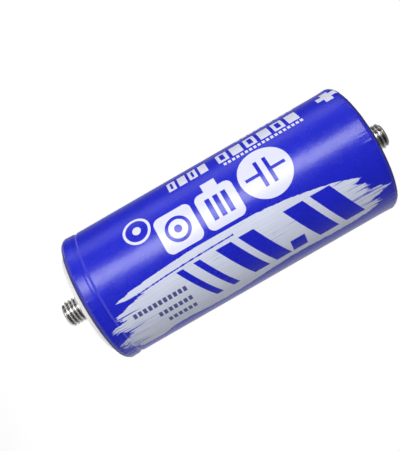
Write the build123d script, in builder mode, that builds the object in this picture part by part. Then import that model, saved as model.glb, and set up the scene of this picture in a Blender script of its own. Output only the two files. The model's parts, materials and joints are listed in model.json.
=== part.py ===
"""Cylindrical supercapacitor cell with an M12 stud at each end. Millimetres, +Z up.

The origin is on the cell's axis, at the root of the negative stud, on the face that a busbar seats on.
+Z runs through the cell to the positive end, so the lid is at the bottom and the can's closed end on top.
"""

import os
from math import sqrt

from build123d import *

# ---------------------------------------------------------------- driving dimensions
body_length = 138.0  # over the sleeve, from rim to rim
body_diameter = 60.4  # over the sleeve
collar_swell = 0.15  # how much wider, in radius, the can is between the bead and the lid end
sleeve_wall = 0.2
rim_corner_radius = 2.6  # of the sleeve, at both ends
sleeve_lip_width = 3.6  # how far the film is drawn in over each end

can_wall = 0.9
can_bottom_thickness = 3.0
crimp_lip_width = 4.6  # from the collar's outside in to the lip's edge
bead_width = 2.4  # mouth of the rolled bead
bead_depth = 2.2  # below the can's body
sleeve_bead_depth = 0.75  # the film spans the bead and sinks into it only this far

stud_diameter = 12.0  # M12, plain here at its nominal diameter
stud_chamfer = 1.1
negative_stud_length = 12.4
positive_stud_length = 10.0

lid_flange_thickness = 3.0
lid_face_height = 2.4  # how far the lid's outer face stands out of the sleeve's rim
lid_face_chamfer = 0.4
lid_face_clearance = 0.9  # from the lid's raised face to the crimped lip, round the edge
lid_boss_diameter = 22.0
lid_boss_height = 3.7
gasket_wall = 0.8  # each leg, and the web at least
gasket_grip = 2.0  # how far the inner leg reaches over the lid's flange

terminal_flange_diameter = 24.0
terminal_flange_height = 1.1  # how far its outer face stands out of the sleeve's rim
terminal_shank_diameter = 15.0
terminal_flange_chamfer = 0.3

collector_thickness = 1.2
collector_bore = 6.0
collector_slot_width = 2.0
collector_slot_count = 6
collector_land = 6.0  # whole metal at each end of a slot
collector_clearance = 1.2  # round the negative collector, inside the bead
collector_edge = 1.0  # how far the positive collector stays inside the winding's outside
foil_edge = 0.5  # how far the bare foil stays inside the negative collector
winding_bore = 8.0
winding_foil_length = 1.1  # bare foil edge at each end of the roll
wrap_wall = 0.3
insulating_ring_thickness = 1.0

filler_hole_diameter = 5.0
filler_edge_distance = 7.6  # from the raised face's edge to the hole's axis
filler_recess_diameter = 10.0
filler_recess_depth = 2.2
filler_seal_thickness = 0.8
filler_head_thickness = 1.2
filler_head_clearance = 0.4  # round the plug's head, for the tool that presses it
filler_head_chamfer = 0.3

fit_gap = 0.05  # between round faces that fit each other
winding_gap = 0.4  # between the wrapped roll and the can

# ---------------------------------------------------------------- worked-out places
body_radius = body_diameter / 2
collar_radius = body_radius + collar_swell
can_radius = body_radius - sleeve_wall
can_collar_radius = collar_radius - sleeve_wall
can_bore_radius = can_radius - can_wall
can_collar_bore_radius = can_collar_radius - can_wall
can_corner_radius = rim_corner_radius - sleeve_wall

sleeve_low_z = lid_face_height
sleeve_high_z = sleeve_low_z + body_length
can_low_z = sleeve_low_z + sleeve_wall
can_high_z = sleeve_high_z - sleeve_wall
can_floor_z = can_high_z - can_bottom_thickness

# Up from the crimped lip: gasket leg, lid flange, gasket leg, then the wall of the bead.
gasket_low_z = can_low_z + can_wall
flange_low_z = gasket_low_z + gasket_wall
flange_high_z = flange_low_z + lid_flange_thickness
gasket_high_z = flange_high_z + gasket_wall
bead_low_z = gasket_high_z + can_wall
bead_high_z = bead_low_z + bead_width
bead_shelf_z = bead_high_z + can_wall

# The bead's corners share its depth, so that the wall keeps its thickness all the way round.
bead_root_radius = min(0.44 * bead_width, 0.9 * (bead_depth - can_wall))
bead_crest_radius = 0.98 * bead_depth - bead_root_radius
bead_bore_radius = can_radius - bead_depth - can_wall

# The film leaves each crest of the bead at 45 degrees, just clear of the can.
film_offset = sleeve_wall + fit_gap
crest_cut = (2 - sqrt(2)) * bead_crest_radius - sqrt(2) * film_offset
sleeve_crest_radius = bead_crest_radius + film_offset
sleeve_root_radius = sleeve_bead_depth
sleeve_bead_radius = body_radius - sleeve_bead_depth
sleeve_bead_low_z = bead_low_z - crest_cut - sleeve_wall
sleeve_bead_high_z = bead_high_z + crest_cut + sleeve_wall

lip_radius = can_collar_radius - crimp_lip_width
lid_face_radius = lip_radius - lid_face_clearance
flange_radius = can_collar_bore_radius - 2 * fit_gap - 2 * gasket_wall
lid_boss_z = flange_high_z + lid_boss_height

negative_collector_high_z = lid_boss_z + collector_thickness
negative_collector_radius = bead_bore_radius - collector_clearance
insulating_ring_radius = can_bore_radius - (bead_crest_radius - can_wall) - fit_gap
insulating_ring_high_z = bead_shelf_z + insulating_ring_thickness
positive_collector_low_z = can_floor_z - collector_thickness
wrap_radius = can_bore_radius - winding_gap
winding_radius = wrap_radius - wrap_wall - fit_gap
winding_low_z = max(insulating_ring_high_z, negative_collector_high_z + winding_foil_length)
winding_high_z = positive_collector_low_z - winding_foil_length
positive_collector_radius = winding_radius - collector_edge
foil_radius = negative_collector_radius - foil_edge

terminal_flange_z = sleeve_high_z + terminal_flange_height
shank_radius = terminal_shank_diameter / 2
filler_offset = lid_face_radius - filler_edge_distance
filler_head_z = filler_recess_depth - filler_seal_thickness

os.makedirs("parts", exist_ok=True)


def save(part, name):
    """Label a finished piece and write it as parts/NAME.step."""
    part.label = name
    export_step(part, f"parts/{name}.step")


def band(corners, radii, wall):
    """Draw the closed outline of a sheet's section: a path with rounded corners, and the wall on its left.

    Each inner corner lies where the inner faces of its two runs cross, and its radius shrinks by the wall
    on a left turn and grows by it on a right turn, so the wall is the same all along.
    """
    corners = [Vector(*corner) for corner in corners]
    runs = [(b - a).normalized() for a, b in zip(corners, corners[1:])]
    lefts = [Vector(-run.Y, run.X) for run in runs]
    inner = [corners[0] + lefts[0] * wall]
    inner_radii = []
    for corner, radius, i in zip(corners[1:-1], radii, range(len(radii))):
        inner.append(corner + (lefts[i] + lefts[i + 1]) * (wall / (1 + lefts[i].dot(lefts[i + 1]))))
        turns_left = runs[i].cross(runs[i + 1]).Z > 0
        inner_radii.append(radius - wall if turns_left else radius + wall)
    inner.append(corners[-1] + lefts[-1] * wall)
    FilletPolyline(*corners, radius=radii)
    FilletPolyline(*inner, radius=inner_radii)
    Line(corners[0], inner[0])
    Line(corners[-1], inner[-1])


# ---------------------------------------------------------------- sleeve
# One band of film: in over the lid end, up the side and through the bead, in over the closed end.
with BuildPart() as sleeve:
    with BuildSketch(Plane.XZ):
        with BuildLine():
            band(
                [
                    (collar_radius - sleeve_lip_width, sleeve_low_z),
                    (collar_radius, sleeve_low_z),
                    (collar_radius, sleeve_bead_low_z),
                    (sleeve_bead_radius, sleeve_bead_low_z + collar_radius - sleeve_bead_radius),
                    (sleeve_bead_radius, sleeve_bead_high_z - sleeve_bead_depth),
                    (body_radius, sleeve_bead_high_z),
                    (body_radius, sleeve_high_z),
                    (body_radius - sleeve_lip_width, sleeve_high_z),
                ],
                [
                    rim_corner_radius,
                    sleeve_crest_radius,
                    sleeve_root_radius,
                    sleeve_root_radius,
                    sleeve_crest_radius,
                    rim_corner_radius,
                ],
                sleeve_wall,
            )
        make_face()
    revolve(axis=Axis.Z)
save(sleeve.part, "sleeve")

# ---------------------------------------------------------------- can
# The wall is one band from the crimped lip to the terminal's hole; the closed end is thicker than the wall.
with BuildPart() as can:
    with BuildSketch(Plane.XZ):
        with BuildLine():
            band(
                [
                    (lip_radius, can_low_z),
                    (can_collar_radius, can_low_z),
                    (can_collar_radius, bead_low_z),
                    (can_radius - bead_depth, bead_low_z),
                    (can_radius - bead_depth, bead_high_z),
                    (can_radius, bead_high_z),
                    (can_radius, can_high_z),
                    (shank_radius + fit_gap, can_high_z),
                ],
                [
                    can_corner_radius,
                    bead_crest_radius,
                    bead_root_radius,
                    bead_root_radius,
                    bead_crest_radius,
                    can_corner_radius,
                ],
                can_wall,
            )
        make_face()
        with BuildLine():
            mid_radius = can_corner_radius - can_wall / 2
            corner = CenterArc(
                (can_radius - can_corner_radius, can_high_z - can_corner_radius), mid_radius, 0, 90
            )
            Polyline(
                corner @ 0,
                (can_radius - can_wall / 2, can_floor_z),
                (shank_radius + fit_gap, can_floor_z),
                (shank_radius + fit_gap, can_high_z - can_wall / 2),
                corner @ 1,
            )
        make_face()
    revolve(axis=Axis.Z)
save(can.part, "can")

# ---------------------------------------------------------------- positive terminal
# Turned in one piece: shank in the can's bottom, flange on its outside, stud.
with BuildPart() as positive_terminal:
    with BuildSketch(Plane.XY.offset(can_floor_z)):
        Circle(shank_radius)
    extrude(amount=can_bottom_thickness)
    with BuildSketch(Plane.XY.offset(can_high_z)):
        Circle(terminal_flange_diameter / 2)
    extrude(amount=terminal_flange_z - can_high_z)
    chamfer(positive_terminal.edges().filter_by(GeomType.CIRCLE).sort_by(Axis.Z)[-1], terminal_flange_chamfer)
    with BuildSketch(Plane.XY.offset(terminal_flange_z)):
        Circle(stud_diameter / 2)
    extrude(amount=positive_stud_length)
    chamfer(positive_terminal.edges().filter_by(GeomType.CIRCLE).sort_by(Axis.Z)[-1], stud_chamfer)
save(positive_terminal.part, "positive_terminal")

# ---------------------------------------------------------------- lid
# Forged and turned in one piece: stud, raised face, flange that the crimp holds, boss to the collector.
with BuildPart() as lid:
    with BuildSketch(Plane.XY.offset(flange_low_z)):
        Circle(flange_radius)
    extrude(amount=lid_flange_thickness)
    with BuildSketch(Plane.XY.offset(flange_high_z)):
        Circle(lid_boss_diameter / 2)
    extrude(amount=lid_boss_height)
    with BuildSketch(Plane.XY.offset(flange_low_z)):
        Circle(lid_face_radius)
    extrude(amount=-flange_low_z)
    chamfer(lid.edges().filter_by(GeomType.CIRCLE).sort_by(Axis.Z)[0], lid_face_chamfer)
    with Locations(Plane.XY.rotated((180, 0, 0)) * Location((filler_offset, 0, 0))):
        CounterBoreHole(filler_hole_diameter / 2, filler_recess_diameter / 2, filler_recess_depth)
    with BuildSketch(Plane.XY):
        Circle(stud_diameter / 2)
    extrude(amount=-negative_stud_length)
    chamfer(lid.edges().filter_by(GeomType.CIRCLE).sort_by(Axis.Z)[0], stud_chamfer)
save(lid.part, "lid")

# ---------------------------------------------------------------- sealing gasket
# A rubber channel folded round the lid's flange; its outer leg also lines the crimped lip up to the raised face.
with BuildPart() as sealing_gasket:
    with BuildSketch(Plane.XZ):
        with BuildLine():
            Polyline(
                (lid_face_radius + fit_gap, gasket_low_z),
                (can_collar_bore_radius - fit_gap, gasket_low_z),
                (can_collar_bore_radius - fit_gap, gasket_high_z),
                (flange_radius - gasket_grip, gasket_high_z),
                (flange_radius - gasket_grip, flange_high_z),
                (flange_radius + fit_gap, flange_high_z),
                (flange_radius + fit_gap, flange_low_z),
                (lid_face_radius + fit_gap, flange_low_z),
                close=True,
            )
        section = make_face()
        outer_corners = section.vertices().group_by(Axis.X)[-1]
        fillet(outer_corners, can_corner_radius - can_wall)
    revolve(axis=Axis.Z)
save(sealing_gasket.part, "sealing_gasket")

# ---------------------------------------------------------------- filler plug and its seal
with BuildPart() as filler_seal:
    with BuildSketch(Plane.XY.offset(filler_head_z)):
        with Locations((filler_offset, 0)):
            Circle(filler_recess_diameter / 2 - filler_head_clearance)
            Circle(filler_hole_diameter / 2, mode=Mode.SUBTRACT)
    extrude(amount=filler_seal_thickness)
save(filler_seal.part, "filler_seal")

with BuildPart() as filler_plug:
    with BuildSketch(Plane.XY.offset(filler_head_z - filler_head_thickness)):
        with Locations((filler_offset, 0)):
            Circle(filler_recess_diameter / 2 - filler_head_clearance)
    extrude(amount=filler_head_thickness)
    chamfer(filler_plug.edges().filter_by(GeomType.CIRCLE).sort_by(Axis.Z)[0], filler_head_chamfer)
    with BuildSketch(Plane.XY.offset(filler_head_z)):
        with Locations((filler_offset, 0)):
            Circle(filler_hole_diameter / 2 - fit_gap)
    extrude(amount=flange_high_z - filler_head_z)
save(filler_plug.part, "filler_plug")


# ---------------------------------------------------------------- inside
def collector(low_z, radius):
    """A round aluminium plate with a centre hole and a ring of slots that let the electrolyte through."""
    with BuildPart() as plate:
        with BuildSketch(Plane.XY.offset(low_z)):
            Circle(radius)
            Circle(collector_bore / 2, mode=Mode.SUBTRACT)
            with PolarLocations((collector_bore / 2 + radius) / 2, collector_slot_count):
                slot_length = radius - collector_bore / 2 - 2 * collector_land
                SlotOverall(slot_length, collector_slot_width, mode=Mode.SUBTRACT)
        extrude(amount=collector_thickness)
    return plate.part


save(collector(lid_boss_z, negative_collector_radius), "negative_collector")
save(collector(positive_collector_low_z, positive_collector_radius), "positive_collector")

with BuildPart() as insulating_ring:
    with BuildSketch(Plane.XY.offset(bead_shelf_z)):
        Circle(insulating_ring_radius)
        Circle(negative_collector_radius + fit_gap, mode=Mode.SUBTRACT)
    extrude(amount=insulating_ring_thickness)
save(insulating_ring.part, "insulating_ring")

# The whole roll is one solid; its bare foil edges stand out at both ends and meet the collectors.
with BuildPart() as winding:
    with BuildSketch(Plane.XY.offset(winding_low_z)):
        Circle(winding_radius)
    extrude(amount=winding_high_z - winding_low_z)
    with BuildSketch(Plane.XY.offset(negative_collector_high_z)):
        Circle(foil_radius)
    extrude(amount=positive_collector_low_z - negative_collector_high_z)
    with BuildSketch(Plane.XY.offset(negative_collector_high_z)):
        Circle(winding_bore / 2)
    extrude(amount=positive_collector_low_z - negative_collector_high_z, mode=Mode.SUBTRACT)
save(winding.part, "winding")

with BuildPart() as winding_wrap:
    with BuildSketch(Plane.XY.offset(winding_low_z)):
        Circle(wrap_radius)
        Circle(wrap_radius - wrap_wall, mode=Mode.SUBTRACT)
    extrude(amount=winding_high_z - winding_low_z)
save(winding_wrap.part, "winding_wrap")
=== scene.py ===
# %% [markdown]
# # A large supercapacitor cell
# The cell is an aluminium can in a printed, heat-shrunk film, with a threaded stud on each end. The
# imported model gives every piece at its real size. This lesson adds what the model leaves out: the
# film's soft creases, true screw threads, and a finish for every surface.

import json
import math

import bmesh
import bpy
from mathutils import Matrix, Vector


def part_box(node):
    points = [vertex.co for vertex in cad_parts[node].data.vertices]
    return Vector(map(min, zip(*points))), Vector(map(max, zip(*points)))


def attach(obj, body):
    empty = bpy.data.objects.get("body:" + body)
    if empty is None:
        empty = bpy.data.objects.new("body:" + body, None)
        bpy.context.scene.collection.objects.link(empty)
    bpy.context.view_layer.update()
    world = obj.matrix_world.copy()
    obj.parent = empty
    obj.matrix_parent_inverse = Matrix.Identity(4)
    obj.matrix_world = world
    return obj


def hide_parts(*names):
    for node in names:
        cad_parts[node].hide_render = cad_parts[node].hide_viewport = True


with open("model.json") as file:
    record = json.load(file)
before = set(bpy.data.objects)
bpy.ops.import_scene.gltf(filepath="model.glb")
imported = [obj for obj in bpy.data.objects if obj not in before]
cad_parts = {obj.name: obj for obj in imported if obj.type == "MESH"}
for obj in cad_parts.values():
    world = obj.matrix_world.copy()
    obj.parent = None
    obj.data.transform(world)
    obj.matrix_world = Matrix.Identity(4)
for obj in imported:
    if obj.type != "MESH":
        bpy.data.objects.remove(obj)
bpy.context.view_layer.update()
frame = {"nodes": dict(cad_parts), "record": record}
print("nodes:", sorted(frame["nodes"]))

# %% [markdown]
# ## Where things are
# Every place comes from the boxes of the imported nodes, so a change to the model moves the looks with
# it. Millimetres are easier to think in for a print layout, so one name turns them into metres.

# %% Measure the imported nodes
MM = 0.001
sleeve_low, sleeve_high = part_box("sleeve")
lid_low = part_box("lid")[0]
terminal_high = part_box("positive_terminal")[1]
mounts = {mount["name"]: mount for mount in frame["record"]["mounts"]}
negative_seat_z = mounts["negative_stud"]["pos_m"][2]
positive_seat_z = mounts["positive_stud"]["pos_m"][2]
COLLAR_SWELL = 0.15 * MM
collar_radius = sleeve_high.x
body_radius = collar_radius - COLLAR_SWELL
film_low = sleeve_low.z
film_high = sleeve_high.z
film_middle = (film_low + film_high) / 2
film_sizes = (film_low / MM, film_high / MM, 2 * body_radius / MM)
print("film from %.1f to %.1f mm, %.1f mm across" % film_sizes)

# %% [markdown]
# ## The camera
# The cell is seen from its side, close enough that both ends bulge, and the camera is rolled so that
# the positive end points up to the right. A camera further back would flatten both ends to straight
# lines. The lens is a short portrait lens without any shift.

# %% Place the camera
CAMERA_DISTANCE = 0.302
CAMERA_DROP = 6.44 * MM
AIM_SIDE = -5.54 * MM
AIM_DROP = 11.45 * MM
CAMERA_ROLL = math.radians(60.117)
LENS_LENGTH = 53.43
NEAREST_SEEN = 0.01

camera = bpy.data.objects.new("camera", bpy.data.cameras.new("camera"))
bpy.context.scene.collection.objects.link(camera)
camera_place = Vector((0, -CAMERA_DISTANCE, film_middle - CAMERA_DROP))
aim_point = Vector((AIM_SIDE, 0, film_middle - AIM_DROP))
level_turn = (aim_point - camera_place).to_track_quat("-Z", "Y").to_matrix()
rolled_turn = level_turn @ Matrix.Rotation(CAMERA_ROLL, 3, "Z")
camera.matrix_world = Matrix.Translation(camera_place) @ rolled_turn.to_4x4()
camera.data.lens = LENS_LENGTH
camera.data.clip_start = NEAREST_SEEN
bpy.context.scene.camera = camera
bpy.context.scene.view_settings.view_transform = "Standard"
print("the camera's right is", [round(v, 3) for v in rolled_turn.col[0]])

# %% [markdown]
# ## Maths on sockets
# A print or a thread is easier to read as a formula than as a web of nodes. `Value` wraps one socket of
# a node tree, and its operators add Math nodes. `Graph.node` makes any other node: its settings first,
# then the values or links of its inputs. Both serve shader trees and geometry trees alike.

# %% Value, a socket in an expression


class Value:
    """A socket that can be used in an expression."""

    def __init__(self, graph, socket):
        self.graph = graph
        self.socket = socket

    def math(self, operation, *others):
        inputs = dict(enumerate((self, *others)))
        return self.graph.node("ShaderNodeMath", {"operation": operation}, inputs)

    def __add__(self, other):
        return self.math("ADD", other)

    def __sub__(self, other):
        return self.math("SUBTRACT", other)

    def __mul__(self, other):
        return self.math("MULTIPLY", other)

    def __truediv__(self, other):
        return self.math("DIVIDE", other)

    def __neg__(self):
        return self.math("MULTIPLY", -1.0)

    def __abs__(self):
        return self.math("ABSOLUTE")

    def __rsub__(self, other):
        return (-self) + other

    __radd__ = __add__
    __rmul__ = __mul__

    def high(self, other):
        """The larger of the two: the overlap of two distances, or either of two masks."""
        return self.math("MAXIMUM", other)

    def low(self, other):
        """The smaller of the two."""
        return self.math("MINIMUM", other)

    def out(self, name):
        """Another output of the same node."""
        return Value(self.graph, self.socket.node.outputs[name])

    def ramp(self, start, end, low=0.0, high=1.0):
        """Smoothly from low at start to high at end."""
        inputs = {"Value": self, "From Min": start, "From Max": end, "To Min": low, "To Max": high}
        return self.graph.node("ShaderNodeMapRange", {"interpolation_type": "SMOOTHSTEP"}, inputs)


print("Value is ready")

# %% Graph, a node tree written as code


class Graph:
    """A node tree, to which nodes are added by name."""

    def __init__(self, tree):
        self.tree = tree

    def node(self, kind, settings=None, inputs=None, output=0):
        made = self.tree.nodes.new(kind)
        for name, setting in (settings or {}).items():
            if name == "curve":
                set_curve(made.mapping, setting)
            else:
                setattr(made, name, setting)
        for key, value in (inputs or {}).items():
            if isinstance(value, Value):
                self.tree.links.new(value.socket, made.inputs[key])
            else:
                made.inputs[key].default_value = value
        return Value(self, made.outputs[output]) if len(made.outputs) else None

    def vector(self, x, y, z):
        return self.node("ShaderNodeCombineXYZ", None, {"X": x, "Y": y, "Z": z})

    def split(self, vector):
        """The three numbers of a vector."""
        x = self.node("ShaderNodeSeparateXYZ", None, {0: vector})
        return x, x.out("Y"), x.out("Z")

    def length(self, x, y):
        """The length of a flat vector."""
        flat = self.vector(x, y, 0.0)
        return self.node("ShaderNodeVectorMath", {"operation": "LENGTH"}, {0: flat}, "Value")

    def rays(self):
        """Two masks: the camera's own rays, and the rays of reflections and of anything seen through."""
        camera_ray = self.node("ShaderNodeLightPath")
        mirror_ray = camera_ray.out("Is Glossy Ray").high(camera_ray.out("Is Transmission Ray"))
        return camera_ray, mirror_ray

    def blend(self, factor, first, second):
        """A mix of two colours, either of which may be a link."""
        return self.node("ShaderNodeMix", {"data_type": "RGBA"}, {0: factor, 6: first, 7: second}, 2)

    def noise(self, vector, scale=1.0, detail=2.0, rough=0.5):
        inputs = {"Vector": vector, "Scale": scale, "Detail": detail, "Roughness": rough}
        return self.node("ShaderNodeTexNoise", None, inputs)

    def curve(self, value, points, width, height):
        """A smooth line through points of (place, result), over places from -width to width."""
        shares = [((place + width) / (2 * width), result / height) for place, result in points]
        share = (value + width) * (1 / (2 * width))
        return self.node("ShaderNodeFloatCurve", {"curve": shares}, {"Value": share}) * height


def set_curve(mapping, points):
    """Give a float curve its points; its first and last are already there."""
    mapping.clip_min_y = -10.0
    mapping.clip_max_y = 10.0
    line = mapping.curves[0]
    line.points[0].location = points[0]
    line.points[-1].location = points[-1]
    for place, result in points[1:-1]:
        line.points.new(place, result)
    mapping.update()


print("Graph is ready")

# %% [markdown]
# ## Light
# A shiny printed cylinder is lit by one long soft panel beside the camera, which draws a single bright
# line along it. The surround is white to the camera, and as a light it is dim and even. What a shiny
# side mirrors is mostly the room: the pale backdrop behind the cell, a window's width of light far to
# the left, and the dark behind the camera, which keeps the blue deep. A second panel overhead lights
# the floor and the upper end, and a weak one stands behind; neither of these two shows in reflections.

# %% The surround
WHITE = (1.0, 1.0, 1.0, 1.0)
FILL = 0.26
ABOVE_AND_BELOW = 0.30
UPRIGHT_START = 0.45
UPRIGHT_END = 0.80
BRIGHTEST = 2
ROOM = [
    (-180, 0.62), (-150, 0.40), (-122, 0.08), (-104, 0.30), (-91, 1.25), (-76, 0.35), (-60, 0.10),
    (0, 0.04), (60, 0.06), (96, 0.30), (122, 0.62), (150, 0.75), (180, 0.62),
]


def make_surround():
    """White where the camera looks, a room where a mirror looks, and dim and even as a light."""
    world = bpy.data.worlds.new("surround")
    world.use_nodes = True
    world.node_tree.nodes.clear()
    graph = Graph(world.node_tree)
    camera_ray, mirror_ray = graph.rays()
    towards = graph.node("ShaderNodeTexCoord", None, None, "Generated")
    x, y, z = graph.split(towards)
    azimuth = x.math("ARCTAN2", -y) * (180 / math.pi)
    room = graph.curve(azimuth, ROOM, 180, BRIGHTEST)
    upright = abs(z).ramp(UPRIGHT_START, UPRIGHT_END)
    room = room * (1 - upright) + upright * ABOVE_AND_BELOW
    light = mirror_ray * room + (1 - mirror_ray) * FILL
    strength = camera_ray + (1 - camera_ray) * light
    shade = graph.node("ShaderNodeBackground", None, {"Color": WHITE, "Strength": strength})
    graph.node("ShaderNodeOutputWorld", None, {"Surface": shade})
    bpy.context.scene.world = world


make_surround()
print("fill light", FILL)

# %% Soft panels


def around(angle, distance, height=0.0):
    """A place round the cell: angle 0 is the camera's side, and positive angles go towards +X."""
    turn = math.radians(angle)
    return Vector((distance * math.sin(turn), -distance * math.cos(turn), film_middle + height))


def make_panel(name, place, width, height, power, mirrored):
    """A soft rectangular lamp that faces the cell, its longer side along the cell."""
    lamp = bpy.data.lights.new(name, "AREA")
    lamp.shape = "RECTANGLE"
    lamp.size = width
    lamp.size_y = height
    lamp.energy = power
    panel = bpy.data.objects.new(name, lamp)
    bpy.context.scene.collection.objects.link(panel)
    turn = (Vector((0, 0, film_middle)) - place).to_track_quat("-Z", "Y").to_matrix()
    panel.matrix_world = Matrix.Translation(place) @ turn.to_4x4()
    panel.visible_camera = False
    panel.visible_glossy = mirrored


beside_camera = around(angle=-27, distance=0.62)
overhead = around(angle=0, distance=0.05, height=0.75)
behind = around(angle=180, distance=0.55, height=0.45)
make_panel("long panel", beside_camera, width=0.23, height=0.66, power=3.2, mirrored=True)
make_panel("overhead panel", overhead, width=0.5, height=0.5, power=4.0, mirrored=False)
make_panel("back panel", behind, width=0.4, height=0.4, power=2.0, mirrored=False)

# %% Floor
FLOOR_DROP = 0.15
FLOOR_RADIUS = 0.42
FLOOR_GLOW = 0.45
FLOOR_COLOUR = (0.93, 0.93, 0.94, 1)
FADE_START = 0.16
FADE_END = 0.30


def floor_material():
    """A pale matt floor that takes a shadow near the cell and fades into the white surround further out."""
    material = bpy.data.materials.new("pale floor")
    material.use_nodes = True
    material.node_tree.nodes.clear()
    graph = Graph(material.node_tree)
    camera_ray, mirror_ray = graph.rays()
    place = graph.node("ShaderNodeTexCoord", None, None, "Object")
    x, y, _ = graph.split(place)
    out_from_cell = (x * x + y * y).math("SQRT")
    faded = out_from_cell.ramp(FADE_START, FADE_END, FLOOR_GLOW, 1.0)
    glow = camera_ray * faded + mirror_ray * FLOOR_GLOW
    matt = graph.node("ShaderNodeBsdfDiffuse", None, {"Color": FLOOR_COLOUR})
    white = graph.node("ShaderNodeEmission", None, {"Color": WHITE, "Strength": 1.0})
    both = graph.node("ShaderNodeMixShader", None, {0: glow, 1: matt, 2: white})
    graph.node("ShaderNodeOutputMaterial", None, {"Surface": both})
    return material


def make_floor(height, sides=96):
    """A round pale floor under the cell. A round floor, left out of the visual model."""
    turns = [math.tau * side / sides for side in range(sides)]
    rim = [(FLOOR_RADIUS * math.cos(t), FLOOR_RADIUS * math.sin(t), height) for t in turns]
    mesh = bpy.data.meshes.new("floor")
    mesh.from_pydata(rim, [], [tuple(range(sides))])
    mesh.materials.append(floor_material())
    floor = bpy.data.objects.new("floor", mesh)
    bpy.context.scene.collection.objects.link(floor)


make_floor(lid_low.z - FLOOR_DROP)
print("floor %.0f mm below the cell" % (FLOOR_DROP / MM))

# %% [markdown]
# ## Finishes: a start for every material
# Every finish reads Object coordinates, so it stays where it is on the piece. `Finish` opens a material
# and measures, in millimetres, the radius from the cell's axis and the height, since nearly every piece
# here was turned, drawn or wound round that axis.

# %% Finish, an open material


class Finish(Graph):
    """A material with a Principled shader and the cell's own coordinates in millimetres."""

    def __init__(self, name):
        self.material = bpy.data.materials.new(name)
        self.material.use_nodes = True
        self.material.node_tree.nodes.clear()
        super().__init__(self.material.node_tree)
        place = self.node("ShaderNodeTexCoord", None, None, "Object")
        self.place = self.node("ShaderNodeVectorMath", {"operation": "SCALE"}, {0: place, "Scale": 1 / MM})
        self.x, self.y, self.z = self.split(self.place)
        self.radius = self.length(self.x, self.y)

    def close(self, colour, roughness, metallic=0.0, height=None, depth=0.01, constants=None):
        """Connect the shader. The height is in shares of the depth, in millimetres."""
        inputs = {"Base Color": colour, "Roughness": roughness, "Metallic": metallic}
        if height is not None:
            bump = {"Height": height, "Distance": depth * MM, "Strength": 1.0}
            inputs["Normal"] = self.node("ShaderNodeBump", None, bump)
        inputs.update(constants or {})
        shader = self.node("ShaderNodeBsdfPrincipled", None, inputs)
        self.node("ShaderNodeOutputMaterial", None, {"Surface": shader})
        return self.material


print("Finish is ready")

# %% [markdown]
# ## The printed film
# The film is printed flat in blue, white and silver, then shrunk round the can. The layout is easiest
# to write on the film's own flat sheet: one way is the height from the middle of the film, the other is
# the distance round it, zero at the camera's side. Each shape is a signed distance in millimetres,
# negative inside, so shapes join and cut each other with a minimum and a maximum, and every edge stays
# sharp at any size.
#
# An image texture would do the same with less thought, but it has a fixed resolution. The print here is
# generic: blocks, bars, a ring, plain pictograms of a cell and its plates, and a plus at the positive
# end.

# %% Shapes on the flat sheet


def box_at(h, s, centre, half):
    """Distance from an upright box."""
    return (abs(h - centre[0]) - half[0]).high(abs(s - centre[1]) - half[1])


def disc_at(h, s, centre, radius):
    """Distance from a disc."""
    return h.graph.length(h - centre[0], s - centre[1]) - radius


def round_box_at(h, s, centre, half, corner):
    """Distance from a box with round corners."""
    over_h = (abs(h - centre[0]) - (half[0] - corner)).high(0.0)
    over_s = (abs(s - centre[1]) - (half[1] - corner)).high(0.0)
    return h.graph.length(over_h, over_s) - corner


def any_of(shapes):
    """Distance from the nearest of several shapes."""
    nearest = shapes[0]
    for shape in shapes[1:]:
        nearest = nearest.low(shape)
    return nearest


def inked(distance, softness=0.09):
    """The mask of a shape, with a soft edge of printed ink."""
    return distance.ramp(softness, -softness)


def repeated(value, start, pitch):
    """The distance from the middle of the nearest of many equal steps."""
    return (value - start).math("PINGPONG", pitch / 2)


print("shapes are ready")

# %% The white print


def block_row(h, s, start, count, middle, half, pitch, frame_wall=None):
    """A row of equal blocks, a plain stand-in for print. With a wall, every second one is a frame."""
    end = start + count * pitch
    strip = box_at(h, s, ((start + end) / 2, middle), ((end - start) / 2, half[1]))
    row = strip.high(repeated(h, start + pitch / 2, pitch) - half[0])
    if frame_wall is None:
        return row
    window_along = repeated(h, start + pitch / 2, 2 * pitch) - (half[0] - frame_wall)
    window = window_along.high(abs(s - middle) - (half[1] - frame_wall))
    return row.high(-window)


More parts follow.
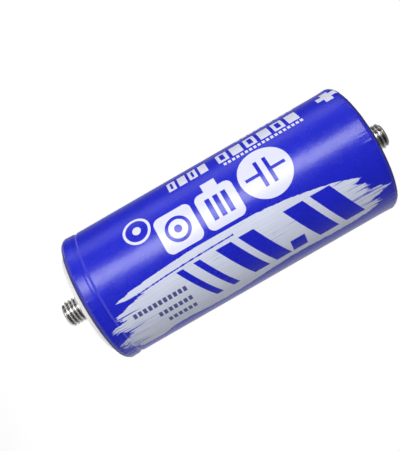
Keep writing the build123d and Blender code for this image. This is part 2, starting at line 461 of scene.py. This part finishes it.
def white_print(h, s):
    """Distance from everything that is printed in white."""
    plus_at = (63, -32)
    row_line = -31.2
    plates_line = -11.3
    cell_line = -8.5
    end_at = (-19.3, cell_line)
    ring_at = (-35.0, -17.0)
    plus = any_of([box_at(h, s, plus_at, (4.7, 1.8)), box_at(h, s, plus_at, (1.8, 4.7))])
    upper_row = any_of([
        block_row(h, s, -16.0, 4, row_line, (1.9, 4.0), 5.1, 1.35),
        block_row(h, s, 8.0, 6, row_line, (2.6, 4.0), 6.83, 1.5),
    ])
    small_row = block_row(h, s, 10.0, 19, -25.2, (0.65, 0.85), 2.05)
    far_row = block_row(h, s, 20.0, 9, -41.5, (1.1, 1.6), 3.3)
    plates = any_of([
        box_at(h, s, (21.1, plates_line), (0.85, 6.2)),
        box_at(h, s, (25.3, plates_line), (0.85, 6.2)),
        box_at(h, s, (17.4, plates_line), (3.4, 0.75)),
        box_at(h, s, (29.0, plates_line), (3.4, 0.75)),
    ])
    plates_badge = disc_at(h, s, (23.1, plates_line), 11.7).high(-plates)
    levels = block_row(h, s, -5.4, 3, cell_line, (1.1, 5.0), 3.77)
    cell_badge = any_of([
        round_box_at(h, s, (0.25, cell_line), (8.7, 8.6), 3.0),
        box_at(h, s, (0.25, -18.6), (3.3, 2.6)),
    ]).high(-levels)
    end_view = abs(disc_at(h, s, end_at, 4.9)) - 0.75
    end_badge = round_box_at(h, s, end_at, (8.6, 8.6), 3.0)
    end_badge = end_badge.high(-any_of([end_view, disc_at(h, s, end_at, 1.7)]))
    ring = any_of([abs(disc_at(h, s, ring_at, 5.6)) - 0.6, disc_at(h, s, ring_at, 1.9)])
    return any_of([plus, upper_row, small_row, far_row, plates_badge, cell_badge, end_badge, ring])


print("white print is ready")

# %% [markdown]
# The silver field looks like one stroke of a wide flat brush. Its long edges are smooth lines through a
# few points. Its ends are ragged because a brush lifts bristle by bristle: noise that is stretched
# along the stroke pushes each bristle's end in or out, and breaks the field into streaks there.

# %% The silver brush stroke
SHEET_HALF_HEIGHT = 70
SHEET_HALF_WIDTH = 40


def brush_stroke(h, s):
    """Distance from the silver field, negative inside. The ends are drawn tip by tip."""
    graph = h.graph
    top_points = [(-64, 8), (-50, 4.4), (-26, 2.2), (-6, 1.3), (18, 2.6), (40, 6), (52, 9.4), (64, 17)]
    bottom_points = [(-66, 30), (-50, 34.6), (-40, 32), (-16, 33.6), (16, 30), (50, 30.4), (64, 24)]
    left_points = [
        (0, -46), (5.7, -57), (7.6, -47), (12, -60), (14.3, -58), (16, -64), (20, -58), (27, -64),
        (34, -56),
    ]
    right_points = [
        (2, 38), (10.8, 56), (12.6, 51), (14.9, 57), (17, 54), (20.1, 65), (23.5, 57), (25.8, 60),
        (31, 50),
    ]
    top = graph.curve(h, top_points, SHEET_HALF_HEIGHT, SHEET_HALF_WIDTH)
    bottom = graph.curve(h, bottom_points, SHEET_HALF_HEIGHT, SHEET_HALF_WIDTH)
    left = graph.curve(s, left_points, SHEET_HALF_WIDTH, SHEET_HALF_HEIGHT)
    right = graph.curve(s, right_points, SHEET_HALF_WIDTH, SHEET_HALF_HEIGHT)
    bristles = graph.noise(graph.vector(h * 0.04, s * 0.5, 3.0), 1.0, 4.0, 0.62) - 0.5
    crumbs = graph.noise(graph.vector(h * 0.35, s * 0.9, 9.0), 1.0, 3.0, 0.6) - 0.5
    sides = (top - s).high(s - bottom) + crumbs * 1.1 + bristles * 0.7
    ends = (left - h).high(h - right) + bristles * 20 + crumbs * 8
    return sides.high(ends * 0.22)


def dry_streaks(h, s):
    """Thin blue lines where the brush left the film bare: a long one, and some near both ends."""
    graph = h.graph
    line_points = [(-70, 8.6), (-50, 7.2), (-29, 5.7), (-2, 4.9), (10, 4.8)]
    line = graph.curve(h, line_points, SHEET_HALF_HEIGHT, SHEET_HALF_WIDTH)
    breaks = graph.noise(graph.vector(h * 0.5, 0.0, 2.0), 1.0, 2.0, 0.6)
    long_streak = (abs(s - line) - breaks.ramp(0.3, 0.7, 0.14, 0.42)).high(abs(h + 26.5) - 25.5)
    bristle = graph.noise(graph.vector(h * 0.03, s * 1.5, 5.0), 1.0, 3.0, 0.6)
    near_ends = abs(h + 2).ramp(38, 62)
    short_streaks = 0.70 - near_ends * 0.15 - bristle
    return any_of([long_streak, short_streaks * 3])


print("brush stroke is ready")

# %% The dark print on the silver


def blue_bars(h, s):
    """Slanted bars that grow wider towards the positive end, and a small block between two of them."""
    slanted = h - (s - 17) * 0.5
    bars = [(-22.5, 1.6), (-14.5, 1.6), (-2.0, 3.6), (8.5, 3.6), (30.5, 4.6), (43.0, 4.6)]
    strip = abs(s - 17.0) - 10.0
    tall = any_of([abs(slanted - centre) - half for centre, half in bars]).high(strip)
    block = box_at(h, s, (21.5, 24.0), (3.4, 3.0))
    return any_of([tall, block])


def navy_rows(h, s):
    """Three rows of small dark blocks."""
    rows = [(-54.0, 11, 14.9), (-44.6, 7, 20.4), (-42.25, 6, 25.6)]
    half = (0.78, 1.2)
    return any_of([block_row(h, s, start, count, middle, half, 2.35) for start, count, middle in rows])


print("dark print is ready")

# %% [markdown]
# The film itself is a glossy vinyl. Under the gloss the blue is deep, the white ink has a trace of the
# blue that shines through it, and the silver ink is a pale grey with a duller skin. The surface carries
# a faint orange peel from shrinking, and each ink stands a few thousandths of a millimetre proud.

# %% Film material
BLUE = (0.010, 0.016, 0.56, 1)
DEEP_BLUE = (0.004, 0.005, 0.20, 1)
RIM_SHADE_BLUE = (0.001, 0.001, 0.045, 1)
PRINT_WHITE = (0.70, 0.71, 0.86, 1)
SILVER = (0.68, 0.72, 0.86, 1)
SILVER_SHADE = (0.55, 0.58, 0.72, 1)
NAVY = (0.020, 0.020, 0.20, 1)
FILM_IOR = 1.56
SHADE_START = 64
SHADE_END = 68
RIM_SHADE_START = 67.1
RIM_SHADE_END = 68.3
FILM_RELIEF = 0.03


def film_material():
    """Blue vinyl with silver, white and navy ink, with painted shade where it turns over the rims."""
    finish = Finish("printed film")
    turn = finish.x.math("ARCTAN2", -finish.y)
    s = turn * (body_radius / MM)
    h = finish.z - film_middle / MM
    silver = inked(brush_stroke(h, s)) * (1 - inked(dry_streaks(h, s), 0.12))
    white = inked(white_print(h, s))
    bars = inked(blue_bars(h, s))
    navy = inked(navy_rows(h, s))
    cloud = finish.noise(finish.place, 0.09, 3.0, 0.55)
    bristle = finish.noise(finish.vector(h * 0.05, s * 2.2, 1.0), 1.0, 3.0, 0.6)
    # Painted shade: the blue is drawn darker towards both rims, and nearly black in a thin line at each
    # rim's corner.
    rim_shade_line = abs(h).ramp(RIM_SHADE_START, RIM_SHADE_END)
    depth = cloud.ramp(0.3, 0.75) * 0.12 + abs(h).ramp(SHADE_START, SHADE_END) * 0.3
    blue = finish.blend(depth, BLUE, DEEP_BLUE)
    blue = finish.blend(rim_shade_line * 0.95, blue, RIM_SHADE_BLUE)
    dust = finish.noise(finish.place, 1.6, 2.0, 0.5).ramp(0.74, 0.80)
    blue = finish.blend(dust * 0.35, blue, DEEP_BLUE)
    pale = finish.blend(bristle.ramp(0.35, 0.75) * 0.8, SILVER, SILVER_SHADE)
    silver_left = silver * (1 - bars)
    colour = finish.blend(silver_left, blue, pale)
    colour = finish.blend(navy * silver_left * 0.9, colour, NAVY)
    colour = finish.blend(white, colour, PRINT_WHITE)
    smear = finish.noise(finish.place, 0.22, 4.0, 0.6).ramp(0.3, 0.8)
    roughness = 0.25 + smear * 0.06 + silver_left * 0.10 + white * 0.03 + rim_shade_line * 0.3
    peel = finish.noise(finish.place, 0.55, 2.0, 0.5)
    grain = finish.noise(finish.place, 5.0, 2.0, 0.5)
    ink = (silver_left + white).low(1.0)
    slack = finish.noise(finish.vector(finish.x * 0.13, finish.y * 0.13, finish.z * 0.05), 1.0, 2.0, 0.5)
    height = peel * 1.0 + slack * 3.5 + grain * 0.05 + ink * 0.15
    return finish.close(colour, roughness, 0.0, height, FILM_RELIEF, {"IOR": FILM_IOR})


film_finish = film_material()
print("film material has", len(film_finish.node_tree.nodes), "nodes")

# %% [markdown]
# ## Geometry Nodes, run once
# Two kinds of piece here follow a rule: the film is a profile turned round an axis, and a thread is a
# profile carried along a helix. Each tree takes a small mesh of profile points and reads them by number
# onto a grid. The result is kept as a plain mesh, because the library's files hold no live trees.

# %% Trees that become plain meshes
SEAM_WELD = 0.002 * MM


class Shape(Graph):
    """A geometry tree with named inputs."""

    def __init__(self, name, inputs):
        super().__init__(bpy.data.node_groups.new(name, "GeometryNodeTree"))
        interface = self.tree.interface
        interface.new_socket("Geometry", in_out="OUTPUT", socket_type="NodeSocketGeometry")
        interface.new_socket("Geometry", in_out="INPUT", socket_type="NodeSocketGeometry")
        interface.new_socket("Material", in_out="INPUT", socket_type="NodeSocketMaterial")
        for label, kind in inputs.items():
            interface.new_socket(label, in_out="INPUT", socket_type="NodeSocket" + kind)
        self.given = self.node("NodeGroupInput")

    def get(self, label):
        return self.given.out(label)

    def grid(self, along, across):
        """A grid, with the number of each point along and across it."""
        grid = self.node("GeometryNodeMeshGrid", None, {"Vertices X": along, "Vertices Y": across})
        index = self.node("GeometryNodeInputIndex")
        step_across = index.math("MODULO", across)
        step_along = (index - step_across) / across
        return grid, step_along, step_across

    def profile_point(self, number):
        """The profile's radius and height at a point's number."""
        position = self.node("GeometryNodeInputPosition")
        settings = {"data_type": "FLOAT_VECTOR", "domain": "POINT"}
        inputs = {"Geometry": self.get("Geometry"), "Value": position, "Index": number}
        radius, _, height = self.split(self.node("GeometryNodeSampleIndex", settings, inputs))
        return radius, height

    def place_round(self, grid, turn, radius, height):
        """Put every point of a grid at an angle, a radius and a height."""
        x = radius * turn.math("COSINE")
        y = radius * turn.math("SINE")
        position = self.vector(x, y, height)
        return self.node("GeometryNodeSetPosition", None, {"Geometry": grid, "Position": position})

    def close(self, geometry):
        """Weld the seams, realize, and set the material."""
        weld = {"Geometry": geometry, "Distance": SEAM_WELD}
        welded = self.node("GeometryNodeMergeByDistance", None, weld)
        real = self.node("GeometryNodeRealizeInstances", None, {"Geometry": welded})
        dress = {"Geometry": real, "Material": self.get("Material")}
        dressed = self.node("GeometryNodeSetMaterial", None, dress)
        self.node("NodeGroupOutput", None, {"Geometry": dressed})

    def run(self, name, profile, values):
        """Run the tree on a profile of (radius, height) points, and keep the result as a plain mesh."""
        line = bpy.data.meshes.new(name + " profile")
        line.from_pydata([(radius, 0, height) for radius, height in profile], [], [])
        source = bpy.data.objects.new(name + " profile", line)
        bpy.context.scene.collection.objects.link(source)
        modifier = source.modifiers.new(name, "NODES")
        modifier.node_group = self.tree
        for item in self.tree.interface.items_tree:
            if item.in_out == "INPUT" and item.name in values:
                modifier[item.identifier] = values[item.name]
        view = bpy.context.evaluated_depsgraph_get()
        mesh = bpy.data.meshes.new_from_object(source.evaluated_get(view))
        source.modifiers.clear()
        bpy.data.objects.remove(source)
        mesh.name = name
        return mesh


print("Shape is ready")

# %% Keep a mesh as a piece


def keep(name, mesh, node, sharp_angle=35):
    """Make an object of a mesh, smooth but for its sharp edges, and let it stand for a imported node."""
    piece = bpy.data.objects.new(name, mesh)
    bpy.context.scene.collection.objects.link(piece)
    for polygon in mesh.polygons:
        polygon.use_smooth = True
    mesh.set_sharp_from_angle(angle=math.radians(sharp_angle))
    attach(piece, "root")
    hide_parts(node)
    triangles = sum(len(polygon.vertices) - 2 for polygon in mesh.polygons)
    print(name, "has", triangles, "triangles")
    return piece


# %% [markdown]
# ## The film's shape
# A heat-shrunk film follows the can's side, sinks a little into the rolled bead, and turns in over both
# rims. There it has too much stuff for the smaller circle and gathers into faint creases. The outside
# and inside are one closed profile, so the film has its real thickness where the lip ends.

# %% The film's profile
RIM_RADIUS = 2.6 * MM
FILM_WALL = 0.2 * MM
LIP_WIDTH = 3.6 * MM
BEAD_DEPTH = 0.32 * MM
BEAD_FLANK = 1.15 * MM
LIP_EDGE_WIDTH = 0.08 * MM
LIP_EDGE_DROP = 0.06 * MM
PAST_BEAD = 2.5 * MM
BEAD_STEPS = 36
SIDE_STEPS = 84
bead_low = film_low + 6.9 * MM
bead_high = film_low + 7.5 * MM


def smooth_step(value, start, end):
    share = min(max((value - start) / (end - start), 0), 1)
    return share * share * (3 - 2 * share)


def side_radius(z):
    """The film's radius on its side: the collar, the shallow dip over the bead, then the body."""
    swell = COLLAR_SWELL * (1 - smooth_step(z, bead_low - BEAD_FLANK, bead_high))
    into = smooth_step(z, bead_low - BEAD_FLANK, bead_low)
    dip = into * (1 - smooth_step(z, bead_high, bead_high + BEAD_FLANK))
    return body_radius + swell - BEAD_DEPTH * dip


def corner(centre_radius, centre_z, start, steps=14):
    """A quarter round of the rim, outside of the film, from a start angle in degrees."""
    points = []
    for step in range(steps + 1):
        turn = math.radians(start + 90 * step / steps)
        points.append((centre_radius + RIM_RADIUS * math.cos(turn), centre_z + RIM_RADIUS * math.sin(turn)))
    return points


def film_profile():
    """The outside from the lower lip to the upper one, then the inside back again."""
    side_low = film_low + RIM_RADIUS
    side_high = film_high - RIM_RADIUS
    dense_end = bead_high + PAST_BEAD
    dense_step = (dense_end - side_low) / BEAD_STEPS
    side_step = (side_high - dense_end) / SIDE_STEPS
    heights = [side_low + dense_step * step for step in range(1, BEAD_STEPS + 1)]
    heights += [dense_end + side_step * step for step in range(1, SIDE_STEPS)]
    outside = [(collar_radius - LIP_WIDTH, film_low + LIP_EDGE_DROP)]
    outside += [(collar_radius - LIP_WIDTH + LIP_EDGE_WIDTH, film_low)]
    outside += corner(collar_radius - RIM_RADIUS, side_low, -90)
    outside += [(side_radius(z), z) for z in heights]
    outside += corner(body_radius - RIM_RADIUS, side_high, 0)
    outside += [(body_radius - LIP_WIDTH + LIP_EDGE_WIDTH, film_high)]
    outside += [(body_radius - LIP_WIDTH, film_high - LIP_EDGE_DROP)]
    inside = [
        (body_radius - LIP_WIDTH, film_high - FILM_WALL),
        (body_radius - RIM_RADIUS, film_high - FILM_WALL),
        (body_radius - FILM_WALL, side_high),
        (body_radius - FILM_WALL, bead_high + BEAD_FLANK),
        (body_radius - FILM_WALL - BEAD_DEPTH, (bead_low + bead_high) / 2),
        (collar_radius - FILM_WALL, bead_low - BEAD_FLANK),
        (collar_radius - FILM_WALL, side_low),
        (collar_radius - RIM_RADIUS, film_low + FILM_WALL),
        (collar_radius - LIP_WIDTH, film_low + FILM_WALL),
    ]
    return outside + inside + outside[:1]


profile = film_profile()
print("film profile has", len(profile), "points")

# %% [markdown]
# The tree turns the profile round the axis and then moves its points outwards. Long shallow swells run
# over the side. Creases are narrow ridges that start at the rims and die out within a centimetre,
# where sharpened noise round the circle is above a level. The free edges of both lips wander a little,
# as a cut film does.

# %% The shrunk film
AROUND = 360
SWELL = 0.12 * MM
CREASE = 0.20 * MM
CREASE_REACH = 10.0 * MM
EDGE_WANDER = 1.0 * MM


def film_shape():
    """The tree that turns the film's profile and adds its swells, creases and wandering lips."""
    shape = Shape("shrunk film", {
        "Around": "Int", "Points": "Int", "Low rim": "Float", "High rim": "Float", "Radius": "Float",
        "Swell": "Float", "Crease": "Float", "Reach": "Float", "Edge wander": "Float",
    })
    grid, step_round, step_up = shape.grid(shape.get("Around"), shape.get("Points"))
    radius, height = shape.profile_point(step_up)
    turn = step_round / (shape.get("Around") - 1.0) * math.tau
    ring_x = turn.math("COSINE")
    ring_y = turn.math("SINE")
    to_low = height - shape.get("Low rim")
    to_high = shape.get("High rim") - height
    to_rim = to_low.low(to_high)
    rise = height * (1 / MM)
    swells = shape.noise(shape.vector(ring_x * 1.6, ring_y * 1.6, rise * 0.025), 1.0, 2.0, 0.5) - 0.5
    slant = to_rim * (0.5 / MM)
    narrow = shape.noise(shape.vector(ring_x * 9.0, ring_y * 9.0, slant * 0.06), 1.0, 1.0, 0.5)
    over_side = shape.vector(ring_x * 1.3, ring_y * 1.3, rise * 0.03)
    patches = shape.noise(over_side, 1.0, 1.0, 0.5).ramp(0.35, 0.6, 0.25, 1.0)
    fading = (to_rim / (shape.get("Reach") * patches)).ramp(1.0, 0.1)
    fold = abs(narrow - 0.5).ramp(0.055, 0.0)
    ridges = fold * fading
    from_side = radius - shape.get("Radius")
    outer = from_side.ramp(-0.16 * MM, 0.0)
    on_corner = from_side.ramp(-3.0 * MM, -1.2 * MM)
    lip = from_side.ramp(-2.7 * MM, -3.6 * MM)
    wander = shape.noise(shape.vector(ring_x * 2.2, ring_y * 2.2, rise * 0.02), 1.0, 3.0, 0.6) - 0.5
    radius = radius + outer * shape.get("Swell") * (swells + 0.3)
    radius = radius + ridges * on_corner * shape.get("Crease")
    radius = radius + lip * wander * shape.get("Edge wander")
    shape.close(shape.place_round(grid, turn, radius, height))
    return shape


film_mesh = film_shape().run("film", profile, {
    "Material": film_finish, "Around": AROUND + 1, "Points": len(profile),
    "Low rim": film_low, "High rim": film_high, "Radius": body_radius,
    "Swell": SWELL, "Crease": CREASE, "Reach": CREASE_REACH, "Edge wander": EDGE_WANDER,
})
keep("film", film_mesh, "sleeve", 60)

# %% [markdown]
# ## Metals
# The studs and the terminal are turned from aluminium bar: fine tool marks run round them, and they are
# bright with a slight haze. The threads' roots are drawn darker, as painted shade. The lid is forged and
# only faced, so it is paler and more matt. The can is drawn from sheet, which leaves it duller, with
# broader rings on its bottom. Noise that reads only the radius and the height draws marks that run round
# the axis on every face.

# %% Aluminium finishes
ROOT_SHADE_COLOUR = (0.05, 0.048, 0.044, 1)
THREAD_ROOT = 4.98
THREAD_CREST = 5.97


def aluminium(name, colour, dark, roughness, mark_scale, mark_depth, root_shade=0.0):
    """Aluminium with rings round the axis, haze, a few darker clouds, and painted shade in a thread's root.
    """
    finish = Finish(name)
    rings = finish.noise(finish.vector(finish.radius, finish.z, 0.0), mark_scale, 3.0, 0.7)
    haze = finish.noise(finish.place, 0.25, 4.0, 0.6)
    specks = finish.noise(finish.place, 3.0, 3.0, 0.6).ramp(0.62, 0.78)
    tone = finish.blend(haze.ramp(0.35, 0.8) * 0.5 + specks * 0.2, colour, dark)
    # Painted shade: a thread is drawn darker down its flanks into the root, but not on the flat of its tip.
    if root_shade:
        in_root = finish.radius.ramp(THREAD_CREST - 0.2, THREAD_ROOT + 0.1)
        off_tip = finish.radius.ramp(THREAD_ROOT - 0.08, THREAD_ROOT - 0.02)
        tone = finish.blend(in_root * off_tip * root_shade, tone, ROOT_SHADE_COLOUR)
    surface = roughness + rings.ramp(0.3, 0.8) * 0.12 + haze * 0.08
    return finish.close(tone, surface, 1.0, rings, mark_depth)


turned = aluminium(
    "turned aluminium", (0.84, 0.83, 0.81, 1), (0.66, 0.65, 0.63, 1),
    roughness=0.22, mark_scale=2.6, mark_depth=0.012,
)
threaded = aluminium(
    "threaded aluminium", (0.90, 0.89, 0.87, 1), (0.74, 0.73, 0.71, 1),
    roughness=0.21, mark_scale=2.6, mark_depth=0.012, root_shade=0.75,
)
forged = aluminium(
    "forged lid aluminium", (0.90, 0.90, 0.89, 1), (0.76, 0.76, 0.75, 1),
    roughness=0.33, mark_scale=2.0, mark_depth=0.015,
)
drawn = aluminium(
    "drawn aluminium", (0.74, 0.75, 0.76, 1), (0.58, 0.59, 0.60, 1),
    roughness=0.30, mark_scale=1.1, mark_depth=0.02,
)
sheet = aluminium(
    "pressed aluminium sheet", (0.80, 0.81, 0.82, 1), (0.66, 0.67, 0.68, 1),
    roughness=0.28, mark_scale=0.7, mark_depth=0.01,
)
print("metals:", turned.name, threaded.name, forged.name, drawn.name, sheet.name)

# %% [markdown]
# ## Screw threads
# Both studs carry a coarse right-hand thread. Real threads are one groove, not a stack of rings, and
# from the side that shows as a slant. The tree carries the profile of one pitch along a helix. The
# height is held between the stud's root and its tip, the radius is held under the tip's chamfer, and
# near the root the thread runs out into a narrow relief groove. Points that meet are welded, which
# closes the surface between the turns.

# %% The thread tree
PITCH = 1.75 * MM
CREST = THREAD_CREST * MM
ROOT = THREAD_ROOT * MM
TURN_STEPS = 72
TIP_RADIUS = 4.9 * MM
RELIEF = 0.5 * MM
RUN_OUT = 0.7 * MM
ROOT_FLAT = 0.17 * MM
CREST_START = 0.79 * MM
CREST_EDGE_RISE = 0.05 * MM
CREST_EDGE_DROP = 0.04 * MM
LATHE_CENTRE_RADIUS = 1.3 * MM
LATHE_CENTRE_INSET = 1.1 * MM
LATHE_CENTRE_DEPTH = 1.0 * MM

rising_side = [
    (ROOT, 0),
    (ROOT, ROOT_FLAT),
    (CREST - CREST_EDGE_DROP, CREST_START - CREST_EDGE_RISE),
    (CREST, CREST_START),
]
thread_profile = rising_side + [(radius, PITCH - rise) for radius, rise in reversed(rising_side)]


def thread_shape():
    """The tree that carries the thread's profile along a helix."""
    shape = Shape("screw thread", {
        "Along": "Int", "Points": "Int", "Steps": "Float", "Pitch": "Float", "Length": "Float",
        "Root": "Float", "Tip": "Float", "Relief": "Float",
    })
    grid, step_along, step_across = shape.grid(shape.get("Along"), shape.get("Points"))
    radius, rise = shape.profile_point(step_across)
    turns = step_along / shape.get("Steps")
    height = (turns - 1.0) * shape.get("Pitch") + rise
    height = height.high(0.0).low(shape.get("Length"))
    under_chamfer = shape.get("Tip") + (shape.get("Length") - height)
    run_out = height.ramp(shape.get("Relief"), shape.get("Relief") + RUN_OUT)
    radius = shape.get("Root") + (radius - shape.get("Root")) * run_out
    radius = radius.low(under_chamfer)
    shape.close(shape.place_round(grid, turns * math.tau, radius, height))
    return shape


def cap_ends(mesh, length):
    """Close the root, and close the tip with a flat and the small cone that a lathe's centre leaves."""
    work = bmesh.new()
    work.from_mesh(mesh)
    for level in (0.0, length):
        rim = [e for e in work.edges if e.is_boundary and abs(e.verts[0].co.z - level) < 0.01 * MM]
        face = bmesh.ops.edgeloop_fill(work, edges=rim)["faces"][0]
        if level == length:
            bmesh.ops.inset_individual(work, faces=[face], thickness=TIP_RADIUS - LATHE_CENTRE_RADIUS)
            bmesh.ops.inset_individual(
                work, faces=[face], thickness=LATHE_CENTRE_INSET, depth=-LATHE_CENTRE_DEPTH
            )
    bmesh.ops.recalc_face_normals(work, faces=work.faces)
    work.to_mesh(mesh)
    work.free()


thread_tree = thread_shape()


def make_thread(name, length, turn, place_z, node):
    """One stud's thread, turned to point along its own axis and moved to its root."""
    turns = math.ceil(length / PITCH) + 1
    mesh = thread_tree.run(name, thread_profile, {
        "Material": threaded, "Along": turns * TURN_STEPS + 1, "Points": len(thread_profile),
        "Steps": float(TURN_STEPS), "Pitch": PITCH, "Length": length,
        "Root": ROOT, "Tip": TIP_RADIUS, "Relief": RELIEF,
    })
    cap_ends(mesh, length)
    mesh.transform(Matrix.Translation((0, 0, place_z)) @ Matrix.Rotation(turn, 4, "X"))
    return keep(name, mesh, node, 28)


negative_length = negative_seat_z - lid_low.z
positive_length = terminal_high.z - positive_seat_z
make_thread("negative_thread", negative_length, math.pi, negative_seat_z, "lid")
make_thread("positive_thread", positive_length, 0.0, positive_seat_z, "positive_terminal")

# %% [markdown]
# ## Lid and terminal without their plain studs
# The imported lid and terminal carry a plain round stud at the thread's outer size. A welded copy of each
# keeps everything but that stud, and the hole it leaves is closed by a flat, from which the thread
# rises. Copying keeps every other edge exactly where the model has it.

# %% Cut the plain studs off
COPY_WELD = 0.001 * MM
SEAT_MARGIN = 0.02 * MM


def without_stud(name, node, side, finish):
    """A welded copy of a node, without the faces of its stud, which lies beyond the seat on one side."""
    seat = negative_seat_z if side < 0 else positive_seat_z
    work = bmesh.new()
    work.from_mesh(frame["nodes"][node].data)
    bmesh.ops.remove_doubles(work, verts=work.verts, dist=COPY_WELD)
    beyond = [f for f in work.faces if (f.calc_center_median().z - seat) * side > SEAT_MARGIN]
    bmesh.ops.delete(work, geom=beyond, context="FACES")
    rim = [e for e in work.edges if e.is_boundary]
    bmesh.ops.edgeloop_fill(work, edges=rim)
    bmesh.ops.recalc_face_normals(work, faces=work.faces)
    mesh = bpy.data.meshes.new(name)
    work.to_mesh(mesh)
    work.free()
    mesh.materials.append(finish)
    return keep(name, mesh, node, 25)


without_stud("lid_body", "lid", -1, forged)
without_stud("terminal_body", "positive_terminal", 1, turned)

# %% [markdown]
# ## Rubber, plastics and the winding
# The gasket is black rubber with a dusty bloom. The insulating ring is unfilled pale plastic, with the
# faint flow of moulding. The wound element is carbon on foil: its side is nearly black, and its ends
# show the edges of the foil as fine rings. A thin pale tape holds it.

# %% Dark and pale finishes


def rubber():
    """Black rubber with a dusty bloom."""
    finish = Finish("black rubber")
    bloom = finish.noise(finish.place, 0.6, 4.0, 0.65)
    grain = finish.noise(finish.place, 9.0, 3.0, 0.6)
    colour = finish.blend(bloom.ramp(0.4, 0.8) * 0.6, (0.012, 0.012, 0.013, 1), (0.045, 0.045, 0.048, 1))
    return finish.close(colour, 0.48 + bloom * 0.25, 0.0, bloom + grain * 0.4, 0.03)


def moulded_plastic():
    """Unfilled plastic with the flow of moulding, which runs mostly round the axis."""
    finish = Finish("pale moulded plastic")
    stretched = finish.vector(finish.radius * 0.3, finish.x * 0.04, finish.y * 0.04)
    flow = finish.noise(stretched, 1.0, 3.0, 0.6)
    grain = finish.noise(finish.place, 6.0, 3.0, 0.6)
    colour = finish.blend(flow.ramp(0.35, 0.75), (0.72, 0.71, 0.66, 1), (0.60, 0.59, 0.54, 1))
    return finish.close(colour, 0.38 + flow * 0.2, 0.0, flow * 0.6 + grain * 0.3, 0.02)


def carbon_winding():
    """Carbon on foil, whose edges show as fine bright rings."""
    finish = Finish("carbon winding")
    layers = finish.noise(finish.vector(finish.radius, 0.0, 0.0), 4.5, 3.0, 0.75)
    grain = finish.noise(finish.place, 2.5, 4.0, 0.7)
    foil = layers.ramp(0.52, 0.66) * 0.5
    colour = finish.blend(foil, (0.018, 0.018, 0.02, 1), (0.42, 0.42, 0.43, 1))
    return finish.close(colour, 0.62 + grain * 0.25, foil, layers + grain * 0.3, 0.06)


def wound_tape(turn_width=12.5):
    """Pale tape, with a darker line where two turns meet."""
    finish = Finish("pale wound tape")
    edge = abs(finish.z - film_middle / MM).math("PINGPONG", turn_width).ramp(0.0, 0.5)
    fibre = finish.noise(finish.vector(finish.x * 0.2, finish.y * 0.2, finish.z * 3.0), 1.0, 3.0, 0.6)
    colour = finish.blend(fibre.ramp(0.3, 0.8), (0.60, 0.52, 0.36, 1), (0.46, 0.39, 0.26, 1))
    colour = finish.blend(edge, (0.30, 0.25, 0.17, 1), colour)
    return finish.close(colour, 0.30 + fibre * 0.2, 0.0, edge + fibre * 0.2, 0.05)


black_rubber = rubber()
plastic = moulded_plastic()
carbon = carbon_winding()
tape = wound_tape()
print("finishes:", black_rubber.name, plastic.name, carbon.name, tape.name)

# %% [markdown]
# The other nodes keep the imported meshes, since their shapes are already complete. Each gets the finish
# of what it is made of.

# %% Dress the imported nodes
finishes = {
    "can": drawn,
    "negative_collector": sheet,
    "positive_collector": sheet,
    "filler_plug": turned,
    "sealing_gasket": black_rubber,
    "filler_seal": black_rubber,
    "insulating_ring": plastic,
    "winding": carbon,
    "winding_wrap": tape,
}
for node, finish in finishes.items():
    mesh = frame["nodes"][node].data
    mesh.materials.clear()
    mesh.materials.append(finish)
print("dressed", len(finishes), "nodes")
